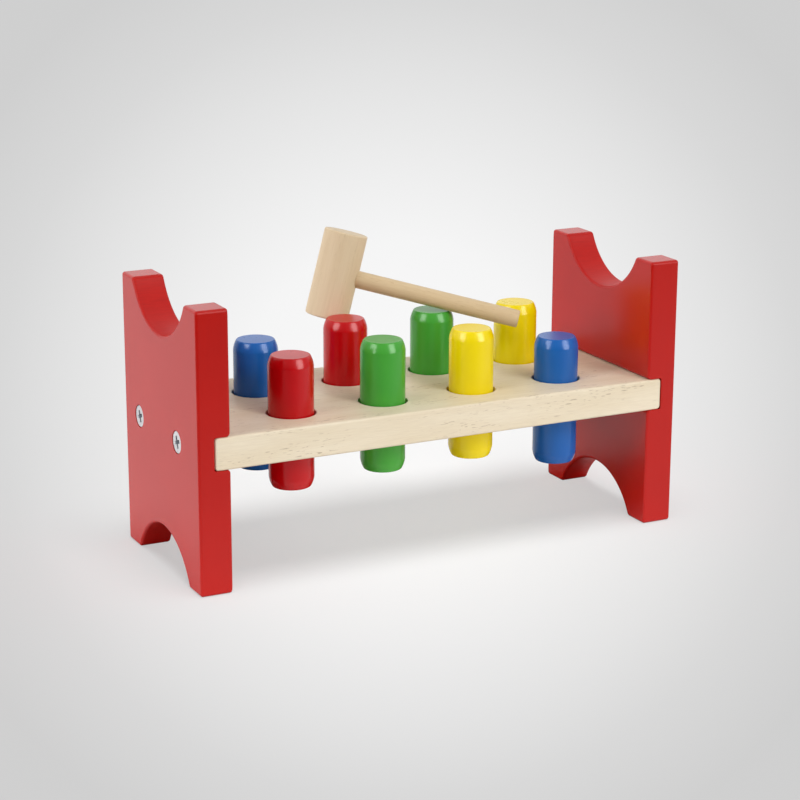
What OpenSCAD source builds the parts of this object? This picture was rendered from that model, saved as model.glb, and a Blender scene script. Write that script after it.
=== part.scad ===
// Peg pounding bench: two red end panels carry a plank with eight pegs, and a mallet lies across the pegs.
// The bench stands the same way up on either edge of its panels. +X runs along the plank, +Z is up,
// and the origin is on the floor, in the middle of everything that is drawn.

/* [Bench] */
// Length over both end panels
bench_l = 292; // [270:1:340]
// Depth of the end panels and the plank, front to back
bench_w = 109; // [102:1:130]
// Height of the end panels
bench_h = 154; // [146:1:180]
// Thickness of an end panel
panel_t = 18; // [15:0.5:22]
// Rounding where the faces of a panel meet
board_ease = 1.6; // [0.8:0.1:2.5]
// Rounding of a panel's corners, seen from its side
panel_corner_r = 2.6; // [1.8:0.1:5]

/* [Notches] */
// Flat that is left in front of and behind each notch, top and bottom
land_w = 17.5; // [14:0.5:22]
// Depth of the round notch in the top edge and of the arch in the bottom edge
notch_depth = 23.5; // [16:0.5:28]

/* [Plank] */
// Thickness of the plank
plank_t = 18; // [15:0.5:22]
// Rounding of the plank's edges
plank_ease = 1.2; // [0.8:0.1:1.6]
// Depth of the groove in each panel that holds the plank's end
housing_depth = 9; // [6:0.5:11]
// Rounding of the groove's mouth, above and below the plank
mouth_r = 2; // [1:0.1:2.5]

/* [Pegs] */
// Diameter of a peg
peg_d = 25; // [22:0.5:28]
// Length of a peg
peg_l = 73; // [64:1:82]
// Length of the curved shoulder at each end of a peg
shoulder_l = 6.7; // [4:0.1:9]
// How far the shoulder draws in at the flat end
shoulder_inset = 1.8; // [1:0.1:2.6]
// Distance from a panel to the middle of the nearest peg, before the drilling's shift
end_space = 45.5; // [40:0.5:52]
// Distance between the front and rear rows
row_gap = 47.5; // [42:0.5:56]
// How far each front peg stands out of the plank, left to right
front_standout = [32, 34.5, 35, 24.5]; // [20:0.5:50]
// How far each rear peg stands out of the plank, left to right
rear_standout = [30, 36, 35.5, 34.5]; // [20:0.5:50]
// Gap between a peg and the wall of its hole
hole_gap = 1.1; // [0.8:0.1:1.6]

/* [Grip rings] */
// Thickness of the elastic ring that grips each peg
ring_wire_d = 3.6; // [2.5:0.1:4.5]
// Running gap between a peg and its ring
ring_gap = 0.05; // [0.02:0.01:0.1]
// Extra height of the groove over the ring
ring_slack = 0.3; // [0.1:0.1:0.8]

/* [Mallet] */
// Diameter of the mallet's head
head_d = 25; // [22:0.5:28]
// Length of the mallet's head
head_l = 50; // [42:1:58]
// Diameter of the handle
handle_d = 10; // [8:0.5:12]
// How far the handle reaches past the rim of the green peg that it lies on
handle_tail = 42.5; // [30:0.5:47]
// Depth of the socket that holds the handle
socket_depth = 18; // [10:0.5:21]
// Rounding of the head's rims
head_ease = 0.9; // [0.4:0.1:2]
// Rounding of the handle's free end
handle_ease = 0.8; // [0.3:0.1:2]
// Lean of the head towards the handle's side, in degrees
head_lean = 15; // [10:0.5:20]

/* [Screws] */
// Diameter of a screw's shank
screw_d = 5; // [4:0.5:6]
// Wood left between a screw's point and the nearest row of holes
screw_end_gap = 3.15; // [2:0.05:12]
// Diameter of a screw's head
screw_head_d = 12; // [10:0.5:13]
// Distance between the two screws of a panel
screw_spacing = 56; // [48:1:64]

/* [Hidden] */
$fn = 96;

// Lengths that several pieces share
overrun = 1;             // how far a cut runs past the face it opens
rest_gap = 0.3;          // gap left where the mallet rests on a peg

// The plank is drilled a little off its middle
grid_shift_x = 1.5;
grid_shift_y = -2;
screw_shift_y = 4.5;

// Places in a row
FRONT = -1;
REAR = 1;
LEFT = -1;
RIGHT = 1;
pegs_in_row = 4;

// Heights and lengths of the bench
mid_z = bench_h / 2;
plank_top = mid_z + plank_t / 2;
plank_l = bench_l - 2 * (panel_t - housing_depth);
housing_corner_gap = 0.2;                // how much tighter the groove's corners are than the plank's
housing_corner_r = plank_ease - housing_corner_gap;
notch_half = bench_w / 2 - land_w;
notch_r = (notch_half * notch_half + notch_depth * notch_depth) / (2 * notch_depth);
notch_mid = mid_z - notch_depth + notch_r;
land_ease = board_ease;

// Pegs, holes and rings
peg_pitch = (bench_l - 2 * panel_t - 2 * end_space) / (pegs_in_row - 1);
peg_r = peg_d / 2;
hole_r = peg_r + hole_gap;
hole_chamfer = 0.5;
shoulder_r = (shoulder_l * shoulder_l + shoulder_inset * shoulder_inset) / (2 * shoulder_inset);
flat_r = peg_r - shoulder_inset;
ring_mid_r = peg_r + ring_gap + ring_wire_d / 2;
ring_out_r = ring_mid_r + ring_wire_d / 2;
groove_h = ring_wire_d + ring_slack;

// Screws: a countersunk head, a shank and a short point
screw_r = screw_d / 2;
screw_head_r = screw_head_d / 2;
screw_rim_h = 0.5;
screw_head_h = screw_rim_h + screw_head_r - screw_r;
screw_sink = 0.25;       // how far the head lies below the panel's face
screw_l = bench_l / 2 - screw_sink - peg_x(pegs_in_row - 1) - hole_r - screw_end_gap;
screw_tip_l = 5;
screw_tip_r = 0.6;
screw_gap = 0.15;        // gap between the shank and its hole in the panel
recess_w = 2;            // width of a wing of the cross recess
recess_span = 7;
recess_depth = 2.2;
recess_hub_r = 1.6;

// The mallet leans its foot on the red rear peg, and its handle lies on the green rear peg
red_x = peg_x(1);
green_x = peg_x(2);
rear_y = row_y(REAR);
head_r = head_d / 2;
handle_r = handle_d / 2;
handle_offset = 4;       // how far the handle's axis passes in front of the green peg's axis
head_x = red_x + head_l / 2 * sin(head_lean);
head_y = rear_y + peg_r + head_r + rest_gap;
green_away = norm([green_x - head_x, rear_y - head_y]);
handle_yaw = atan2(rear_y - head_y, green_x - head_x) - asin(handle_offset / green_away);
handle_turn = atan(tan(handle_yaw) * cos(head_lean));
handle_level = norm([cos(handle_turn) * cos(head_lean), sin(handle_turn)]);
handle_drop = cos(handle_turn) * sin(head_lean);
// The handle touches the far rim of the green peg's flat top
rim_away = sqrt(green_away * green_away - handle_offset * handle_offset)
         + sqrt(flat_r * flat_r - handle_offset * handle_offset);
green_top = plank_top + rear_standout[2];
handle_reach = rim_away + handle_tail;
head_z = green_top + rest_gap + handle_r / handle_level + rim_away * handle_drop / handle_level;

// The head reaches past the rear of the bench, so the bench stands forward of the origin by half of that
head_overhang = max(0, head_y + head_r - bench_w / 2);
bench_y = -head_overhang / 2;

function peg_x(i) = (i - (pegs_in_row - 1) / 2) * peg_pitch + grid_shift_x;
function row_y(row) = row * row_gap / 2 + grid_shift_y;
function screw_y(row) = row * screw_spacing / 2 + screw_shift_y;
function standout(row, i) = row == FRONT ? front_standout[i] : rear_standout[i];

// Puts a piece that was drawn about the bench's middle where the bench stands
module on_bench() {
    translate([0, bench_y, 0]) children();
}

// Rectangle with round corners, centred
module rounded_rect(w, h, r) {
    square([w, h - 2 * r], center = true);
    square([w - 2 * r, h], center = true);
    for (x = [-1, 1], y = [-1, 1])
        translate([x * (w / 2 - r), y * (h / 2 - r)]) circle(r);
}

// Block whose edges are rounded along all three directions, centred
module eased_block(size, r) {
    intersection() {
        linear_extrude(size.z, center = true) rounded_rect(size.x, size.y, r);
        rotate([90, 0, 90]) linear_extrude(size.x, center = true) rounded_rect(size.y, size.z, r);
        rotate([90, 0, 0]) linear_extrude(size.y, center = true) rounded_rect(size.x, size.z, r);
    }
}

// Solid rod along +Z from the floor, with both rims rounded
module eased_rod(r, l, ease) {
    rotate_extrude() {
        square([r - ease, l]);
        translate([0, ease]) square([r, l - 2 * ease]);
        for (z = [ease, l - ease]) translate([r - ease, z]) circle(ease);
    }
}

// What rounds the corner between a notch and the flat behind it, on the +Y side of the top edge
module land_corner_cut() {
    round_z = mid_z - land_ease;
    rise = notch_mid - round_z;
    round_y = sqrt(pow(notch_r + land_ease, 2) - rise * rise);
    touch_share = notch_r / (notch_r + land_ease);
    touch = [round_y * touch_share, notch_mid - rise * touch_share];
    difference() {
        polygon([touch, [notch_half - overrun, mid_z + overrun], [round_y, mid_z + overrun], [round_y, mid_z]]);
        translate([round_y, round_z]) circle(land_ease);
    }
}

// Side view of a panel, centred on the plank's middle: Y across, Z up
module panel_outline() {
    difference() {
        rounded_rect(bench_w, bench_h, panel_corner_r);
        for (flip = [0, 1]) mirror([0, flip]) {
            translate([0, notch_mid]) circle(notch_r);
            for (side = [0, 1]) mirror([side, 0]) land_corner_cut();
        }
    }
}

// What rounds the rim of a notch where it meets one broad face; the face is at zero, the panel below it
module notch_rim_cut() {
    rotate_extrude()
        difference() {
            translate([notch_r - overrun, -board_ease]) square([board_ease + overrun, board_ease + overrun]);
            translate([notch_r + board_ease, -board_ease]) circle(board_ease);
        }
}

// Screw along +Z, with the top of its head at zero and its point upwards
module screw_body(shank_r, head_r) {
    rotate_extrude()
        polygon([[0, 0], [head_r, 0], [head_r, screw_rim_h], [shank_r, screw_head_h],
                 [shank_r, screw_l - screw_tip_l], [screw_tip_r, screw_l], [0, screw_l]]);
}

// Puts a screw that was drawn along +Z into a panel, pointing inwards
module at_screw(side, row) {
    translate([side * (bench_l / 2 - screw_sink), screw_y(row), mid_z])
        rotate([0, -side * 90, 0]) children();
}

// Countersunk hole for one screw in a panel, open to the outer face
module screw_hole() {
    screw_body(screw_r + screw_gap, screw_head_r);
    translate([0, 0, -screw_sink - overrun]) cylinder(r = screw_head_r, h = screw_sink + overrun);
}

// Side view of the groove for the plank's end: X across from the groove's mouth, Y up
module housing_section() {
    rounded_rect(2 * housing_depth, plank_t, housing_corner_r);
    for (flip = [0, 1], face = [0, 1]) mirror([face, 0]) mirror([0, flip])
        difference() {
            translate([-overrun, plank_t / 2 - overrun]) square([overrun + mouth_r, overrun + mouth_r]);
            translate([mouth_r, plank_t / 2 + mouth_r]) circle(mouth_r);
        }
}

module end_panel(side) {
    inner_x = side * (bench_l / 2 - panel_t);
    color("firebrick") on_bench() difference() {
        translate([side * (bench_l - panel_t) / 2, 0, mid_z])
            difference() {
                intersection() {
                    rotate([90, 0, 90]) linear_extrude(panel_t, center = true) panel_outline();
                    linear_extrude(bench_h, center = true) rounded_rect(panel_t, bench_w, board_ease);
                    rotate([90, 0, 0]) linear_extrude(bench_w, center = true)
                        rounded_rect(panel_t, bench_h, board_ease);
                }
                for (face = [0, 1], flip = [0, 1])
                    mirror([face, 0, 0]) mirror([0, 0, flip])
                        translate([panel_t / 2, 0, notch_mid]) rotate([0, 90, 0]) notch_rim_cut();
            }
        translate([inner_x, 0, mid_z]) rotate([90, 0, 0])
            linear_extrude(bench_w + 2 * overrun, center = true) housing_section();
        for (row = [FRONT, REAR]) at_screw(side, row) screw_hole();
    }
}

// Hole for one peg, with a groove for its ring halfway down and both rims chamfered
module peg_hole() {
    cylinder(r = hole_r, h = plank_t + 2 * overrun, center = true);
    cylinder(r = ring_out_r, h = groove_h, center = true);
    for (face = [0, 1]) mirror([0, 0, face])
        translate([0, 0, plank_t / 2])
            rotate_extrude()
                polygon([[0, -hole_chamfer], [hole_r, -hole_chamfer],
                         [hole_r + hole_chamfer + overrun, overrun], [0, overrun]]);
}

module bench_plank() {
    color("burlywood") on_bench() difference() {
        translate([0, 0, mid_z]) eased_block([plank_l, bench_w, plank_t], plank_ease);
        for (row = [FRONT, REAR], i = [0 : pegs_in_row - 1])
            translate([peg_x(i), row_y(row), mid_z]) peg_hole();
        for (side = [LEFT, RIGHT], row = [FRONT, REAR])
            at_screw(side, row) screw_body(screw_r, screw_head_r);
    }
}

// Half section of a peg's upper shoulder, from its tangent line up to the flat end
module shoulder_section() {
    intersection() {
        square([peg_r, shoulder_l]);
        translate([peg_r - shoulder_r, 0]) circle(shoulder_r);
    }
}

module peg(row, i) {
    on_bench() translate([peg_x(i), row_y(row), plank_top + standout(row, i) - peg_l / 2])
        rotate_extrude() {
            translate([0, shoulder_l - peg_l / 2]) square([peg_r, peg_l - 2 * shoulder_l]);
            for (end = [0, 1]) mirror([0, end])
                translate([0, peg_l / 2 - shoulder_l]) shoulder_section();
        }
}

module grip_ring(row, i) {
    color("dimgray") on_bench() translate([peg_x(i), row_y(row), mid_z])
        rotate_extrude() translate([ring_mid_r, 0]) circle(ring_wire_d / 2);
}

module screw(side, row) {
    color("silver") on_bench() at_screw(side, row) difference() {
        screw_body(screw_r, screw_head_r);
        for (turn = [0, 90]) rotate([0, 0, turn])
            cube([recess_w, recess_span, 2 * recess_depth], center = true);
        cylinder(r = recess_hub_r, h = 2 * recess_depth, center = true);
    }
}

// Puts the mallet, drawn with its head along Z and its handle along +X, where it rests on the pegs
module on_pegs() {
    on_bench() translate([head_x, head_y, head_z])
        rotate([0, head_lean, 0]) rotate([0, 0, handle_turn]) children();
}

module mallet_head() {
    color("wheat") on_pegs() difference() {
        translate([0, 0, -head_l / 2]) eased_rod(head_r, head_l, head_ease);
        translate([head_r - socket_depth, 0, 0]) rotate([0, 90, 0])
            cylinder(r = handle_r, h = socket_depth + overrun);
    }
}

module mallet_handle() {
    color("wheat") on_pegs()
        translate([head_r - socket_depth, 0, 0]) rotate([0, 90, 0])
            eased_rod(handle_r, handle_reach - head_r + socket_depth, handle_ease);
}

end_panel(LEFT);  // end_panel_left
end_panel(RIGHT);  // end_panel_right
bench_plank();
color("crimson") peg(FRONT, 0);  // peg_front_red
color("forestgreen") peg(FRONT, 1);  // peg_front_green
color("gold") peg(FRONT, 2);  // peg_front_yellow
color("royalblue") peg(FRONT, 3);  // peg_front_blue
color("royalblue") peg(REAR, 0);  // peg_rear_blue
color("crimson") peg(REAR, 1);  // peg_rear_red
color("forestgreen") peg(REAR, 2);  // peg_rear_green
color("gold") peg(REAR, 3);  // peg_rear_yellow
grip_ring(FRONT, 0);  // grip_ring_front_1
grip_ring(FRONT, 1);  // grip_ring_front_2
grip_ring(FRONT, 2);  // grip_ring_front_3
grip_ring(FRONT, 3);  // grip_ring_front_4
grip_ring(REAR, 0);  // grip_ring_rear_1
grip_ring(REAR, 1);  // grip_ring_rear_2
grip_ring(REAR, 2);  // grip_ring_rear_3
grip_ring(REAR, 3);  // grip_ring_rear_4
screw(LEFT, FRONT);  // screw_left_front
screw(LEFT, REAR);  // screw_left_rear
screw(RIGHT, FRONT);  // screw_right_front
screw(RIGHT, REAR);  // screw_right_rear
mallet_head();
mallet_handle();
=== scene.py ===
"""Peg pounding bench.

Two red lacquered end panels, a beech plank, eight turned pegs, four screws and a mallet.
"""
import math

import bpy
from mathutils import Matrix, Vector


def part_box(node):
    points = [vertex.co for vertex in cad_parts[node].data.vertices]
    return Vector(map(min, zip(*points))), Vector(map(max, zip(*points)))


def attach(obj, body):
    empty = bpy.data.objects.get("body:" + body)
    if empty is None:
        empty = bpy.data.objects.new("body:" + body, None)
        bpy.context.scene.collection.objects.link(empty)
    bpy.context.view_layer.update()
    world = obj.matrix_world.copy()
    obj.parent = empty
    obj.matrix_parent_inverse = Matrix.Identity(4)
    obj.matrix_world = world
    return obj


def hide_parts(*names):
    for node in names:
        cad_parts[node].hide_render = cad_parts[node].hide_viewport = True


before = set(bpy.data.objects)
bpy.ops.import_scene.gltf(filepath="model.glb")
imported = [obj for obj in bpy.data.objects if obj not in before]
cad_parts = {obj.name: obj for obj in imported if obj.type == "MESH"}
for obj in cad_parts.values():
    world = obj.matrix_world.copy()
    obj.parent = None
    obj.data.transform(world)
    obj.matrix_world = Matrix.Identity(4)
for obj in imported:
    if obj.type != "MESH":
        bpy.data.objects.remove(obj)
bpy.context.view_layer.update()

MM = 0.001

# Sizes that several pieces share, in millimetres: pieces are modelled in them and then scaled down
BOARD_EASE = 1.5
LAND_CORNER = 1.5
PANEL_CORNER = 1.8
NOTCH_DEPTH = 23.5
NOTCH_CUTTER_REACH = 30.0
LAND = 17.5
PLANK_EASE = 1.2
PLANK_END_GAP = 0.3
PLANK_END_ROUND = 2.0
MOUTH_ROUND = 2.0
HOUSING_CORNER = 1.0
HOUSING_FRONT_EASE = 0.3
HOLE_GAP = 1.1
GROOVE_RADIUS = 16.15
GROOVE_HEIGHT = 3.9
HOLE_EASE = 0.5
SHOULDER_LENGTH = 5.8
SHOULDER_INSET = 1.95
SHOULDER_CREASE = math.radians(6)
SHOULDER_STEPS = 8
PEG_EASE = 0.45
SCREW_HEAD_RADIUS = 6.0
SCREW_HEAD_RIM = 0.5
SCREW_HEAD_DEPTH = 4.0
SCREW_SEAT_GAP = 0.3
SCREW_SEAT_DEPTH = 3.0
SCREW_EASE = 0.22
SHANK_RADIUS = 2.5
POINT_LENGTH = 5.0
POINT_RADIUS = 0.6
RECESS_REACH = 4.2
RECESS_HALF_WIDTH = 1.15
RECESS_DEPTH = 2.8
RECESS_TAPER = (0.35, 0.45, 1)
RECESS_TURN = 20
RECESS_EASE = 0.12
HEAD_RADIUS = 12.5
HEAD_LENGTH = 50.0
HEAD_LEAN = math.radians(15)
HEAD_EASE = 0.9
HANDLE_RADIUS = 5.0
HANDLE_EASE = 0.8
SOCKET_DEPTH = 18.0
SOCKET_GAP = 0.12

PEGS = {
    "peg_front_red": "red", "peg_front_green": "green",
    "peg_front_yellow": "yellow", "peg_front_blue": "blue",
    "peg_rear_blue": "blue", "peg_rear_red": "red",
    "peg_rear_green": "green", "peg_rear_yellow": "yellow",
}
SCREWS = {"screw_left_front": -1, "screw_left_rear": -1, "screw_right_front": 1, "screw_right_rear": 1}
RINGS = [f"grip_ring_{row}_{number}" for row in ("front", "rear") for number in (1, 2, 3, 4)]


# Modelling

def box(node):
    """A CAD node's lowest and highest corner in millimetres."""
    return [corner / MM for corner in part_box(node)]


def settle(name):
    """Names the piece that was just added and puts its place into its mesh."""
    piece = bpy.context.object
    piece.name = name
    bpy.ops.object.transform_apply(location=True, rotation=True, scale=True)
    return piece


def add_block(name, low, high):
    bpy.ops.object.select_all(action="DESELECT")
    middle = [(a + b) / 2 for a, b in zip(low, high)]
    bpy.ops.mesh.primitive_cube_add(size=1, location=middle, scale=[b - a for a, b in zip(low, high)])
    return settle(name)


def add_rod(name, radius, low_z, high_z, middle=(0, 0), sides=128):
    bpy.ops.object.select_all(action="DESELECT")
    bpy.ops.mesh.primitive_cylinder_add(
        vertices=sides, radius=radius, depth=high_z - low_z,
        location=(middle[0], middle[1], (low_z + high_z) / 2))
    return settle(name)


def place(piece, matrix):
    """Moves a piece that was drawn about the origin to its place, inside its mesh."""
    piece.data.transform(matrix)
    piece.data.update()


def only(piece):
    bpy.ops.object.select_all(action="DESELECT")
    piece.select_set(True)
    bpy.context.view_layer.objects.active = piece


def edit_edges(piece, test):
    """Opens a piece in edit mode with the edges selected whose two ends pass the test."""
    only(piece)
    bpy.ops.object.mode_set(mode="EDIT")
    bpy.ops.mesh.select_mode(type="EDGE")
    bpy.ops.mesh.select_all(action="DESELECT")
    bpy.ops.object.mode_set(mode="OBJECT")
    points = piece.data.vertices
    for edge in piece.data.edges:
        edge.select = bool(test(points[edge.vertices[0]].co, points[edge.vertices[1]].co))
    bpy.ops.object.mode_set(mode="EDIT")


def edit_faces(piece, test):
    """Opens a piece in edit mode with the faces selected whose middle and normal pass the test."""
    only(piece)
    bpy.ops.object.mode_set(mode="EDIT")
    bpy.ops.mesh.select_mode(type="FACE")
    bpy.ops.mesh.select_all(action="DESELECT")
    bpy.ops.object.mode_set(mode="OBJECT")
    for face in piece.data.polygons:
        face.select = bool(test(face.center, face.normal))
    bpy.ops.object.mode_set(mode="EDIT")


def round_edges(piece, test, radius, steps):
    edit_edges(piece, test)
    bpy.ops.mesh.bevel(offset_type="OFFSET", offset=radius, segments=steps, profile=0.5)
    bpy.ops.object.mode_set(mode="OBJECT")


def apply_modifier(piece, modifier):
    only(piece)
    bpy.ops.object.modifier_apply(modifier=modifier.name)


def merge(piece):
    """Joins points that lie on each other."""
    only(piece)
    bpy.ops.object.mode_set(mode="EDIT")
    bpy.ops.mesh.select_all(action="SELECT")
    bpy.ops.mesh.remove_doubles(threshold=0.01)
    bpy.ops.object.mode_set(mode="OBJECT")


def cut(piece, *cutters):
    """Takes each cutter out of a piece."""
    for cutter in cutters:
        taken = piece.modifiers.new("cut", "BOOLEAN")
        taken.operation = "DIFFERENCE"
        taken.solver = "EXACT"
        taken.object = cutter
        apply_modifier(piece, taken)
        bpy.data.objects.remove(cutter)
    merge(piece)


def smooth(piece, angle=32):
    """Fills a piece's many-sided faces, shades it smooth up to an angle and scales it down to metres."""
    merge(piece)
    filled = piece.modifiers.new("filled", "TRIANGULATE")
    filled.min_vertices = 5
    apply_modifier(piece, filled)
    bpy.ops.object.shade_smooth_by_angle(angle=math.radians(angle))
    weighted = piece.modifiers.new("weighted", "WEIGHTED_NORMAL")
    weighted.keep_sharp = True
    weighted.weight = 100
    apply_modifier(piece, weighted)
    place(piece, Matrix.Scale(MM, 4))


def near(a, b, within=0.02):
    return abs(a - b) < within


def taper_cap(piece, up, rings):
    """Extends the end of an upright rod through rings of (height, radius), at the top or at the bottom."""
    for (z0, r0), (z1, r1) in zip(rings, rings[1:]):
        edit_faces(piece, lambda middle, normal: normal.z * up > 0.999 and near(middle.z, z0))
        bpy.ops.mesh.extrude_region_move(TRANSFORM_OT_translate={"value": (0, 0, z1 - z0)})
        bpy.ops.transform.resize(value=(r1 / r0, r1 / r0, 1))
        bpy.ops.object.mode_set(mode="OBJECT")


def dress(piece, node, body, material):
    """Makes a piece stand for its CAD node, move with its body and wear its finish."""
    piece.data.materials.clear()
    piece.data.materials.append(material)
    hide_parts(node)
    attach(piece, body)


def notch_circle(low, high):
    """Half the width of the notch in a panel of these corners, and the radius of its circle."""
    half = (high.y - low.y) / 2 - LAND
    return half, (half * half + NOTCH_DEPTH * NOTCH_DEPTH) / (2 * NOTCH_DEPTH)


def model_panel(node):
    """End panel with a round notch above and below, the housing for the plank's end and two screw seats."""
    low, high = box(node)
    panel = add_block(f"{node}_lacquered", low, high)
    inner = high.x if low.x < 0 else low.x
    outer = low.x if low.x < 0 else high.x
    inwards = 1 if low.x < 0 else -1
    mid_y = (low.y + high.y) / 2

    def across(a, b):
        return near(a.y, b.y) and near(a.z, b.z)

    round_edges(panel, across, PANEL_CORNER, 6)
    half, radius = notch_circle(low, high)
    for end, side in ((high.z, 1), (low.z, -1)):
        rod = add_rod("notch", radius, -NOTCH_CUTTER_REACH, NOTCH_CUTTER_REACH, sides=144)
        place(rod, Matrix.Translation(((low.x + high.x) / 2, mid_y, end + side * (radius - NOTCH_DEPTH)))
              @ Matrix.Rotation(math.pi / 2, 4, "Y"))
        cut(panel, rod)

    def land_corner(a, b):
        return across(a, b) and near(abs(a.y - mid_y), half, 0.1) and \
            (near(a.z, high.z, 0.1) or near(a.z, low.z, 0.1))

    round_edges(panel, land_corner, LAND_CORNER, 6)
    plank_low, plank_high = box("bench_plank")
    floor_x = plank_low.x if low.x < 0 else plank_high.x
    cut(panel, add_block("housing", (min(floor_x, inner + inwards), low.y - 2, plank_low.z),
                         (max(floor_x, inner + inwards), high.y + 2, plank_high.z)))

    def housing_edge(x):
        return lambda a, b: near(a.x, x) and near(b.x, x) and near(a.z, b.z) and \
            (near(a.z, plank_low.z) or near(a.z, plank_high.z))

    round_edges(panel, housing_edge(inner), MOUTH_ROUND, 6)
    round_edges(panel, housing_edge(floor_x), HOUSING_CORNER, 4)

    # the rims of both broad faces are rounded, and the housing's open ends only a little
    weights = panel.data.attributes.new("bevel_weight_edge", "FLOAT", "EDGE")
    points = panel.data.vertices
    small = HOUSING_FRONT_EASE / BOARD_EASE
    for edge in panel.data.edges:
        a, b = (points[i].co for i in edge.vertices)
        on_end = near(a.y, b.y) and (near(a.y, low.y) or near(a.y, high.y))
        in_mouth = plank_low.z - MOUTH_ROUND - 0.01 < min(a.z, b.z) and \
            max(a.z, b.z) < plank_high.z + MOUTH_ROUND + 0.01
        beyond = max(0, (inner - (a.x + b.x) / 2) * inwards)
        if on_end and in_mouth and not near(a.x, outer) and not near(b.x, outer):
            fade = min(1, beyond / MOUTH_ROUND)
            weights.data[edge.index].value = 1 + (small - 1) * fade
        elif (near(a.x, inner) and near(b.x, inner)) or (near(a.x, outer) and near(b.x, outer)):
            if not (in_mouth and near(a.z, b.z) and near(a.x, inner)):
                weights.data[edge.index].value = 1
    rims = panel.modifiers.new("rims", "BEVEL")
    rims.limit_method = "WEIGHT"
    rims.width = BOARD_EASE
    rims.segments = 5
    rims.use_clamp_overlap = False
    apply_modifier(panel, rims)
    for name, side in SCREWS.items():
        if side == -inwards:
            s_low, s_high = box(name)
            seat = add_rod("seat", SCREW_HEAD_RADIUS + SCREW_SEAT_GAP,
                           -SCREW_SEAT_DEPTH, SCREW_SEAT_DEPTH, sides=96)
            place(seat, Matrix.Translation((outer, (s_low.y + s_high.y) / 2, (s_low.z + s_high.z) / 2))
                  @ Matrix.Rotation(math.pi / 2, 4, "Y"))
            cut(panel, seat)
    smooth(panel)
    return panel


def model_plank():
    """Plank with rounded edges and eight holes, each grooved for its ring and eased at both rims."""
    low, high = box("bench_plank")
    short = Vector((PLANK_END_GAP, 0, 0))
    plank = add_block("bench_plank_beech", low + short, high - short)
    round_edges(plank, lambda a, b: near(a.x, b.x) and near(a.z, b.z), PLANK_END_ROUND, 6)
    round_edges(plank, lambda a, b: near(a.y, b.y), PLANK_EASE, 5)
    mid_z = (low.z + high.z) / 2
    centres = []
    for name in PEGS:
        p_low, p_high = box(name)
        centre = ((p_low.x + p_high.x) / 2, (p_low.y + p_high.y) / 2)
        radius = (p_high.x - p_low.x) / 2 + HOLE_GAP
        centres.append((centre, radius))
        cut(plank, add_rod("hole", radius, low.z - 1, high.z + 1, centre),
            add_rod("groove", GROOVE_RADIUS, mid_z - GROOVE_HEIGHT / 2, mid_z + GROOVE_HEIGHT / 2, centre))

    def rim(a, b):
        return near(a.z, b.z) and (near(a.z, low.z) or near(a.z, high.z)) and any(
            near(math.dist(a.xy, centre), radius, 0.05) and near(math.dist(b.xy, centre), radius, 0.05)
            for centre, radius in centres)

    round_edges(plank, rim, HOLE_EASE, 3)
    smooth(plank)
    return plank


def model_peg(node):
    """Turned peg: a straight barrel with a curved shoulder and a flat at both ends."""
    low, high = box(node)
    radius = (high.x - low.x) / 2
    middle = ((low.x + high.x) / 2, (low.y + high.y) / 2)
    least = SHOULDER_CREASE
    most = 2 * math.atan(SHOULDER_INSET / SHOULDER_LENGTH) - least
    curve = SHOULDER_LENGTH / (math.sin(most) - math.sin(least))
    arc = []
    for step in range(SHOULDER_STEPS + 1):
        turn = least + (most - least) * step / SHOULDER_STEPS
        arc.append((curve * (math.sin(turn) - math.sin(least)),
                    radius - curve * (math.cos(least) - math.cos(turn))))
    peg = add_rod(f"{node}_turned", radius, low.z + SHOULDER_LENGTH, high.z - SHOULDER_LENGTH, sides=144)
    taper_cap(peg, 1, [(high.z - SHOULDER_LENGTH + z, r) for z, r in arc])
    taper_cap(peg, -1, [(low.z + SHOULDER_LENGTH - z, r) for z, r in arc])
    round_edges(peg, lambda a, b: near(a.z, b.z) and (near(a.z, low.z) or near(a.z, high.z)), PEG_EASE, 3)
    place(peg, Matrix.Translation((middle[0], middle[1], 0)))
    smooth(peg, 40)
    return peg


def model_screw(node, side):
    """Countersunk screw with a cross recess, its head towards the outside of its panel."""
    low, high = box(node)
    length = high.x - low.x
    radius = SCREW_HEAD_RADIUS
    screw = add_rod(f"{node}_plated", radius, -SCREW_HEAD_RIM, 0, sides=96)
    taper_cap(screw, -1, [(-SCREW_HEAD_RIM, radius), (-SCREW_HEAD_DEPTH, SHANK_RADIUS),
                          (POINT_LENGTH - length, SHANK_RADIUS), (-length, POINT_RADIUS)])
    round_edges(screw, lambda a, b: near(a.z, 0) and near(b.z, 0), SCREW_EASE, 3)
    for turn in (0, 90):
        wing = add_block("wing", (-RECESS_REACH, -RECESS_HALF_WIDTH, -RECESS_DEPTH),
                         (RECESS_REACH, RECESS_HALF_WIDTH, 1))
        edit_faces(wing, lambda middle, normal: normal.z < -0.9)
        bpy.ops.transform.resize(value=RECESS_TAPER)
        bpy.ops.object.mode_set(mode="OBJECT")
        place(wing, Matrix.Rotation(math.radians(turn + RECESS_TURN), 4, "Z"))
        cut(screw, wing)
    inside_rim = (RECESS_REACH + radius) / 2
    edit_edges(screw, lambda a, b: near(a.z, 0) and near(b.z, 0)
               and max(a.xy.length, b.xy.length) < inside_rim)
    bpy.ops.mesh.bevel(offset_type="OFFSET", offset=RECESS_EASE, segments=2)
    bpy.ops.object.mode_set(mode="OBJECT")
    outer = high.x if side > 0 else low.x
    place(screw, Matrix.Translation((outer, (low.y + high.y) / 2, (low.z + high.z) / 2))
          @ Matrix.Rotation(side * math.pi / 2, 4, "Y"))
    smooth(screw, 30)
    return screw


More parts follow.
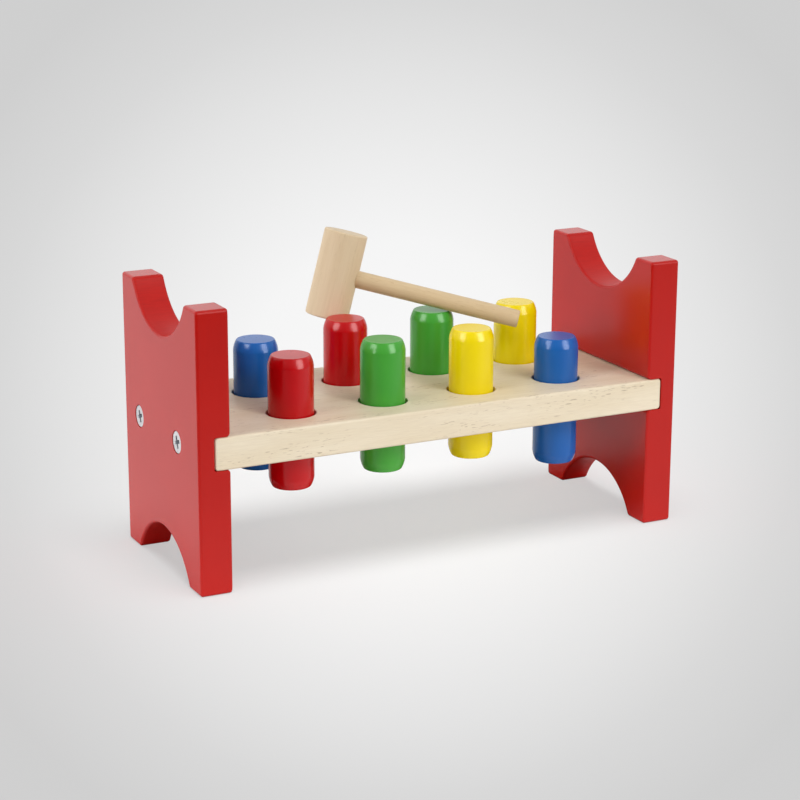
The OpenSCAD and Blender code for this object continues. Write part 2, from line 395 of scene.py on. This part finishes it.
def mallet_place():
    """Where the mallet lies, its head along local Z and its handle along local X, and the handle's reach."""
    head = sum(box("mallet_head"), Vector()) / 2
    handle = sum(box("mallet_handle"), Vector()) / 2
    up = Vector((math.sin(HEAD_LEAN), 0, math.cos(HEAD_LEAN)))
    along = (handle - head).normalized()
    aside = up.cross(along).normalized()
    along = aside.cross(up)
    turn = Matrix((along, aside, up)).transposed().to_4x4()
    reach = (handle - head).length * 2 + SOCKET_DEPTH - HEAD_RADIUS
    return Matrix.Translation(head) @ turn, reach


def model_mallet():
    """Mallet: a short thick rod with a socket in its side, and a long thin rod in the socket."""
    matrix, reach = mallet_place()
    head = add_rod("mallet_head_beech", HEAD_RADIUS, -HEAD_LENGTH / 2, HEAD_LENGTH / 2, sides=160)
    round_edges(head, lambda a, b: near(a.z, b.z), HEAD_EASE, 4)
    bore = add_rod("bore", HANDLE_RADIUS + SOCKET_GAP, HEAD_RADIUS - SOCKET_DEPTH, 20, sides=96)
    place(bore, Matrix.Rotation(math.pi / 2, 4, "Y"))
    cut(head, bore)
    place(head, matrix)
    smooth(head, 40)
    handle = add_rod("mallet_handle_beech", HANDLE_RADIUS, HEAD_RADIUS - SOCKET_DEPTH, reach, sides=96)
    round_edges(handle, lambda a, b: near(a.z, b.z), HANDLE_EASE, 4)
    place(handle, matrix @ Matrix.Rotation(math.pi / 2, 4, "Y"))
    smooth(handle, 40)
    return head, handle, matrix


# Finishes

GROWTH_RING = 2.6 * MM
PEG_GLOSS = 0.21
PEG_SHINE = 1.40
PEG_GRAIN = (420, 420, 30)
PEG_MARKS = (1100, 1100, 1100)
PEG_DULLED = 0.07
PEG_COLOURS = {
    "red": ((201, 5, 13), (178, 4, 11)),
    "green": ((73, 167, 56), (56, 147, 49)),
    "yellow": ((248, 224, 0), (238, 204, 0)),
    "blue": ((26, 102, 182), (18, 78, 156)),
}


def linear(*shade):
    """A screen colour of 0 to 255 as the shader's own scale."""
    return tuple((v / 255 / 12.92) if v <= 10 else ((v / 255 + 0.055) / 1.055) ** 2.4 for v in shade) + (1,)


class Signal:
    """A value inside a finish. Sums on it add Math nodes."""

    def __init__(self, finish, socket):
        self.finish = finish
        self.socket = socket

    def maths(self, operation, *others):
        return self.finish.node("ShaderNodeMath", {"operation": operation}, dict(enumerate((self, *others))))

    def __add__(self, other):
        return self.maths("ADD", other)

    __radd__ = __add__

    def __sub__(self, other):
        return self.maths("SUBTRACT", other)

    def __rsub__(self, other):
        return self.maths("MULTIPLY", -1) + other

    def __mul__(self, other):
        return self.maths("MULTIPLY", other)

    def __truediv__(self, other):
        return self.maths("DIVIDE", other)

    def __pow__(self, other):
        return self.maths("POWER", other)


class Finish:
    """A material or a world and the nodes that make it."""

    def __init__(self, block):
        self.block = block
        block.use_nodes = True
        self.tree = block.node_tree
        self.shader = self.tree.nodes.get("Principled BSDF")

    def node(self, kind, settings=None, inputs=None, output=0):
        """Adds a node, with its settings first and then its sockets' values or links."""
        made = self.tree.nodes.new(kind)
        for name, value in (settings or {}).items():
            if name == "stops":
                ramp = made.color_ramp
                while len(ramp.elements) < len(value):
                    ramp.elements.new(0.5)
                for element, (position, shade) in zip(ramp.elements, value):
                    element.position = position
                    element.color = shade if isinstance(shade, tuple) else (shade, shade, shade, 1)
            else:
                setattr(made, name, value)
        for name, value in (inputs or {}).items():
            self.feed(made.inputs[name], value)
        return Signal(self, made.outputs[output])

    def feed(self, socket, value):
        if isinstance(value, Signal):
            self.tree.links.new(value.socket, socket)
        else:
            socket.default_value = value

    def coords(self, matrix=None, stretch=(1, 1, 1)):
        """The piece's own coordinates, in the frame of a matrix and then stretched along each axis."""
        here = self.node("ShaderNodeTexCoord", output="Object")
        if matrix is not None:
            back = matrix.inverted()
            here = self.node("ShaderNodeMapping", {}, {
                "Vector": here, "Location": back.translation, "Rotation": back.to_euler()})
        return self.node("ShaderNodeMapping", {}, {"Vector": here, "Scale": stretch})

    def axis(self, where, letter):
        """One coordinate of a place."""
        return self.node("ShaderNodeSeparateXYZ", {}, {"Vector": where}, output=letter)

    def along(self, where, direction):
        """How far a place lies along a direction."""
        return self.node("ShaderNodeVectorMath", {"operation": "DOT_PRODUCT"}, {
            0: where, 1: direction}, output="Value")

    def noise(self, where, scale, detail, roughness):
        return self.node("ShaderNodeTexNoise", {}, {
            "Vector": where, "Scale": scale, "Detail": detail, "Roughness": roughness})

    def ramp(self, value, *stops):
        """A scale of values or colours between stops of (position, value or colour)."""
        return self.node("ShaderNodeValToRGB", {"stops": stops}, {"Fac": value})

    def blend(self, share, first, second):
        return self.node("ShaderNodeMix", {"data_type": "RGBA"}, {0: share, 6: first, 7: second}, output=2)

    def bump(self, height, distance, strength):
        return self.node("ShaderNodeBump", {}, {"Height": height, "Distance": distance, "Strength": strength})

    def set(self, **sockets):
        for name, value in sockets.items():
            self.feed(self.shader.inputs[name.replace("_", " ")], value)


def flat_ends(finish):
    """One on the flat ends of a turned piece, and nothing elsewhere."""
    upright = finish.axis(finish.node("ShaderNodeTexCoord", output="Normal"), "Z").maths("ABSOLUTE")
    return finish.ramp(upright, (0.975, 0.0), (0.995, 1.0))


def notch_insides(finish):
    """One on the sawn insides of the panels' round notches, and nothing on the broad faces."""
    low, high = box("end_panel_left")
    radius = notch_circle(low, high)[1]
    y = finish.axis(finish.coords(), "Y") - (low.y + high.y) / 2 * MM
    z = finish.axis(finish.coords(), "Z") - (low.z + high.z) / 2 * MM
    z = z.maths("ABSOLUTE") - ((high.z - low.z) / 2 + radius - NOTCH_DEPTH) * MM
    beyond = ((y * y + z * z) ** 0.5 - radius * MM) / MM
    return finish.ramp(beyond, (0.25, 1.0), (0.95, 0.0))


def lacquer(name, colour, deep, gloss, shine, grain, thirsty, dulled, marks):
    """Sprayed lacquer over wood: faint clouding, grain that tells through and a fine peel.

    Where the wood is thirsty, such as on sawn ends, the lacquer is duller and the cutter's marks show.
    """
    finish = Finish(bpy.data.materials.new(name))
    soaked = thirsty(finish)
    cutter = finish.noise(finish.coords(stretch=marks), 1, 3, 0.6)
    cloud = finish.noise(finish.coords(), 18, 3, 0.55)
    fibre = finish.noise(finish.coords(stretch=grain), 1, 3, 0.6)
    peel = finish.noise(finish.coords(), 420, 2, 0.5)
    shade = finish.blend(finish.ramp(cloud, (0.3, 0.0), (0.75, 0.5)), colour, deep)
    shade = finish.blend(finish.ramp(fibre, (0.35, 0.0), (0.8, 0.14)), shade, deep)
    shade = finish.blend(soaked * finish.ramp(cutter, (0.42, 0.0), (0.72, 0.8)), shade, deep)
    height = peel * 0.5 + fibre * 0.5 + soaked * cutter * 4
    dullness = gloss + (cloud - 0.5) * 0.05 + (fibre - 0.5) * 0.03 + soaked * dulled
    finish.set(Base_Color=shade, Roughness=dullness, Normal=finish.bump(height, 0.002 * MM, 0.3), IOR=shine)
    return finish.block


def beech(name, matrix, pale, warm, fleck, rough=0.5, pith=(0.03, 0.055), fleck_strength=0.6,
          fibre_strength=0.14):
    """Sanded beech with the grain along local X: growth bands about a pith, fibres and short dark flecks."""
    finish = Finish(bpy.data.materials.new(name))
    here = finish.coords(matrix)
    drift = finish.noise(finish.coords(matrix, (9, 30, 30)), 1, 2, 0.5) - 0.5
    y = finish.axis(here, "Y") + pith[0] + drift * 0.006
    z = finish.axis(here, "Z") + pith[1] + drift * 0.006
    bands = ((y * y + z * z) ** 0.5 * (2 * math.pi / GROWTH_RING)).maths("SINE") * 0.5 + 0.5
    slow = finish.noise(finish.coords(matrix, (14, 90, 90)), 1, 3, 0.55)
    fibre = finish.noise(finish.coords(matrix, (110, 1800, 1800)), 1, 3, 0.6)
    dash = finish.noise(finish.coords(matrix, (230, 1500, 1500)), 1, 1.5, 0.5)
    where = finish.noise(finish.coords(matrix, (18, 170, 170)), 1, 2, 0.5)
    flecks = finish.ramp(dash, (0.61, 0.0), (0.68, 1.0)) * finish.ramp(where, (0.48, 0.0), (0.62, 1.0))
    shade = finish.blend(finish.ramp(slow, (0.30, 0.0), (0.72, 1.0)), pale, warm)
    shade = finish.blend(bands * 0.14, shade, warm)
    shade = finish.blend(finish.ramp(fibre, (0.35, 0.0), (0.8, fibre_strength)), shade, fleck)
    shade = finish.blend(flecks * fleck_strength, shade, fleck)
    height = fibre * 0.7 - flecks * 0.5 + bands * 0.1
    finish.set(Base_Color=shade, Roughness=rough + (fibre - 0.5) * 0.14, IOR=1.45,
               Normal=finish.bump(height, 0.03 * MM, 0.5))
    return finish.block


def plated_steel(name, face):
    """Zinc-plated steel with a slightly cloudy shine; below the panels' outer face, as in the cross recess,
    it is duller and painted darker as shade.
    """
    finish = Finish(bpy.data.materials.new(name))
    cloud = finish.noise(finish.coords(), 320, 3, 0.6)
    from_middle = finish.axis(finish.coords(), "X").maths("ABSOLUTE")
    # painted shade: the deeper the steel lies below the panel's outer face, the darker and duller it is
    recess_shade = finish.ramp((face - from_middle) / (2 * MM), (0.12, 0.0), (0.5, 1.0))
    scratch = finish.noise(finish.coords(stretch=(900, 5200, 2600)), 1, 2, 0.5)
    shade = finish.ramp(cloud, (0.3, linear(196, 197, 200)), (0.7, linear(232, 232, 234)))
    finish.set(Base_Color=finish.blend(recess_shade, shade, linear(112, 116, 124)), Metallic=1.0,
               Roughness=0.2 + cloud * 0.12 + recess_shade * 0.2, Normal=finish.bump(scratch, 0.01 * MM, 0.4))
    return finish.block


def rubber(name):
    """Matt black elastic with a faint mould grain."""
    finish = Finish(bpy.data.materials.new(name))
    grain = finish.noise(finish.coords(), 1400, 2, 0.5)
    finish.set(Base_Color=finish.ramp(grain, (0.3, linear(22, 22, 23)), (0.7, linear(38, 38, 39))),
               Roughness=0.7 + grain * 0.15, Normal=finish.bump(grain, 0.02 * MM, 0.4))
    return finish.block


# Building the bench

red_lacquer = lacquer("red_lacquer", linear(188, 20, 10), linear(171, 14, 8), 0.25, 1.36, (420, 420, 22),
                      notch_insides, 0.22, (90, 900, 900))
paints = {
    colour: lacquer(f"{colour}_peg_paint", linear(*pale), linear(*deep), PEG_GLOSS, PEG_SHINE, PEG_GRAIN,
                    flat_ends, PEG_DULLED, PEG_MARKS)
    for colour, (pale, deep) in PEG_COLOURS.items()
}
plank_middle = sum(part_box("bench_plank"), Vector()) / 2
plank_wood = beech("plank_beech", Matrix.Translation(plank_middle), linear(240, 227, 202),
                   linear(231, 215, 186), linear(158, 128, 96), 0.46)

for node in ("end_panel_left", "end_panel_right"):
    dress(model_panel(node), node, "bench", red_lacquer)
dress(model_plank(), "bench_plank", "bench", plank_wood)
pegs = []
for node, colour in PEGS.items():
    pegs.append(model_peg(node))
    dress(pegs[-1], node, node, paints[colour])
steel = plated_steel("screw_steel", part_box("end_panel_right")[1].x)
for node, side in SCREWS.items():
    dress(model_screw(node, side), node, "bench", steel)
head, handle, mallet_matrix = model_mallet()
mallet_matrix.translation *= MM  # the finishes work in metres
upright = mallet_matrix @ Matrix.Rotation(-math.pi / 2, 4, "Y")
dress(head, "mallet_head", "mallet",
      beech("mallet_head_beech", upright, linear(229, 208, 175), linear(219, 195, 159),
            linear(180, 150, 112), pith=(0.004, 0.02), fleck_strength=0.2))
dress(handle, "mallet_handle", "mallet",
      beech("mallet_handle_beech", mallet_matrix, linear(226, 204, 166), linear(212, 186, 146),
            linear(168, 132, 94), pith=(0.01, 0.012), fleck_strength=0.25, fibre_strength=0.2))
elastic = rubber("grip_rubber")
for node in RINGS:
    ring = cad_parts[node]
    for held in ring.material_slots:
        held.material = elastic
    if not ring.material_slots:
        ring.data.materials.append(elastic)


# Camera: turned to the left of the bench's front and a little above it

CAMERA_PLACE = Vector((-0.54155, -1.06816, 0.40830))
CAMERA_YAW = 0.46845
CAMERA_PITCH = -0.27081
CAMERA_ROLL = 0.00337
CAMERA_LENS = 98.85
CAMERA_SENSOR = 36

heading = Vector((math.sin(CAMERA_YAW), math.cos(CAMERA_YAW), 0))
right = Vector((math.cos(CAMERA_YAW), -math.sin(CAMERA_YAW), 0))
forward = heading * math.cos(CAMERA_PITCH) + Vector((0, 0, math.sin(CAMERA_PITCH)))
upwards = right.cross(forward)
rolled_right = right * math.cos(CAMERA_ROLL) + upwards * math.sin(CAMERA_ROLL)
rolled_up = upwards * math.cos(CAMERA_ROLL) - right * math.sin(CAMERA_ROLL)
camera = bpy.data.objects.new("camera", bpy.data.cameras.new("camera"))
camera.data.lens = CAMERA_LENS
camera.data.sensor_width = CAMERA_SENSOR
camera.data.clip_end = 100
camera.matrix_world = Matrix.Translation(CAMERA_PLACE) @ Matrix(
    (rolled_right, rolled_up, -forward)).transposed().to_4x4()
bpy.context.scene.collection.objects.link(camera)
bpy.context.scene.camera = camera
bpy.context.scene.view_settings.view_transform = "Standard"


# Studio

FLOOR_SIZE = 60.0
FLOOR_GLOW = 0.62
HALF_DIAGONAL = 0.7071
ROOM_LIGHT = 0.08
WINDOW_TURN = 52.5
WINDOW_RISE = 20
WINDOW_DISTANCE = 3.0
WINDOW_WIDTH = 1.6
WINDOW_HEIGHT = 2.2

bpy.ops.object.select_all(action="DESELECT")
bpy.ops.mesh.primitive_plane_add(size=FLOOR_SIZE, location=(0, 0, 0))
floor = settle("studio_floor")


def lit_group(name, pieces, lit):
    """A group of pieces that a lamp lights, or that it leaves out."""
    group = bpy.data.collections.new(name)
    for piece in pieces:
        group.objects.link(piece)
    for member in group.collection_objects:
        member.light_linking.link_state = "INCLUDE" if lit else "EXCLUDE"
    return group


only_floor = lit_group("only_floor", [floor], True)
beside_floor = lit_group("all_beside_floor", [floor], False)
only_pegs = lit_group("only_pegs", pegs, True)
beside_pegs = lit_group("all_beside_floor_and_pegs", [floor, *pegs], False)


def hang(name, lamp, turn, rise, distance):
    """Hangs a lamp at a turn to the camera's right and a rise, in degrees, and aims it at the bench."""
    yaw = CAMERA_YAW - math.radians(turn)
    rise = math.radians(rise)
    away = Vector((-math.sin(yaw) * math.cos(rise), -math.cos(yaw) * math.cos(rise), math.sin(rise)))
    made = bpy.data.objects.new(name, lamp)
    made.location = away * distance
    made.rotation_euler = away.to_track_quat("Z", "Y").to_euler()
    bpy.context.scene.collection.objects.link(made)
    return made


def soft_lamp(name, turn, rise, spread, level, group):
    """Wide far lamp that lights surfaces and isn't mirrored in them; level 1 lights white fully."""
    lamp = bpy.data.lights.new(name, "SUN")
    lamp.angle = math.radians(spread)
    lamp.energy = level * math.pi
    made = hang(name, lamp, turn, rise, 2)
    made.visible_glossy = False
    made.light_linking.receiver_collection = group


def window(name, turn, brightness, group):
    """Tall softbox as it is mirrored in a finish."""
    lamp = bpy.data.lights.new(name, "AREA")
    lamp.shape = "RECTANGLE"
    lamp.size = WINDOW_WIDTH
    lamp.size_y = WINDOW_HEIGHT
    lamp.energy = brightness * math.pi * WINDOW_WIDTH * WINDOW_HEIGHT
    made = hang(name, lamp, turn, WINDOW_RISE, WINDOW_DISTANCE)
    made.visible_diffuse = False
    made.light_linking.receiver_collection = group


soft_lamp("softbox_right", 51, 34, 20, 0.22, beside_floor)
soft_lamp("softbox_left", -50, 34, 20, 0.25, beside_floor)
soft_lamp("key_sky", 44, 27, 50, 0.37, beside_floor)
soft_lamp("top_sky", 0, 84, 80, 0.29, beside_floor)
soft_lamp("side_wall", -88, 12, 44, 0.47, beside_floor)
soft_lamp("floor_lamp", 27, 79, 36, 0.92, only_floor)
for side, turn in (("right", WINDOW_TURN), ("left", -WINDOW_TURN)):
    window(f"window_{side}_in_pegs", turn, 7.5, only_pegs)
    window(f"window_{side}", turn, 2.5, beside_pegs)

# the room around: dim, but mirrored as a pale wall behind the bench and a pale ceiling
studio = Finish(bpy.data.worlds.new("studio"))
bpy.context.scene.world = studio.block
outwards = studio.node("ShaderNodeTexCoord", output="Generated")
mirrored = studio.node("ShaderNodeLightPath", output="Is Glossy Ray")
behind = studio.ramp(studio.along(outwards, heading) * 0.5 + 0.5, (0.2, 0.06), (0.75, 0.75))
above = studio.ramp(studio.axis(outwards, "Z"), (0.02, 0.0), (0.26, 0.4))
strength = studio.node("ShaderNodeMix", {"data_type": "FLOAT"}, {
    0: mirrored, 2: ROOM_LIGHT, 3: behind + above})
studio.feed(studio.tree.nodes["Background"].inputs["Color"], (1, 1, 1, 1))
studio.feed(studio.tree.nodes["Background"].inputs["Strength"], strength)

# the floor: a pool of light painted on it that is round as seen from in front, greyer away from its middle
paper = Finish(bpy.data.materials.new("pale_paper"))
ahead = paper.along(paper.coords(), heading)
away = ahead - CAMERA_PLACE.dot(heading)
aside = paper.along(paper.coords(), right) - CAMERA_PLACE.dot(right)
fall = CAMERA_PLACE.z
depth = (away * math.cos(CAMERA_PITCH) - fall * math.sin(CAMERA_PITCH)).maths("MAXIMUM", 0.05)
across_pool = aside / depth
down_pool = (away * math.sin(CAMERA_PITCH) + fall * math.cos(CAMERA_PITCH)) / depth
pool = (across_pool * across_pool + down_pool * down_pool) ** 0.5 * (CAMERA_LENS / (CAMERA_SENSOR / 2))
tone = paper.ramp(pool * HALF_DIAGONAL, *((position, linear(grey, grey, grey)) for position, grey in (
    (0.0, 250), (0.28, 246), (0.42, 238), (0.57, 228), (0.71, 217), (0.88, 208))))
seen = paper.node("ShaderNodeLightPath", output="Is Camera Ray")
table_end = paper.ramp(ahead + 1, (0.45, linear(100, 100, 100)), (0.85, linear(250, 250, 250)))
paper.set(Base_Color=paper.blend(seen, table_end, tone), Roughness=0.9)
paper.shader.inputs["Specular IOR Level"].default_value = 0.0
glow = paper.node("ShaderNodeEmission", {}, {"Color": tone, "Strength": 1.0})
mixed = paper.node("ShaderNodeMixShader", {}, {0: seen * FLOOR_GLOW, 2: glow})
paper.tree.links.new(paper.shader.outputs[0], mixed.socket.node.inputs[1])
# seen from below, the floor is clear
below = paper.node("ShaderNodeNewGeometry", output="Backfacing")
clear = paper.node("ShaderNodeBsdfTransparent")
paper.feed(paper.tree.nodes["Material Output"].inputs["Surface"],
           paper.node("ShaderNodeMixShader", {}, {0: below, 1: mixed, 2: clear}))
floor.data.materials.append(paper.block)
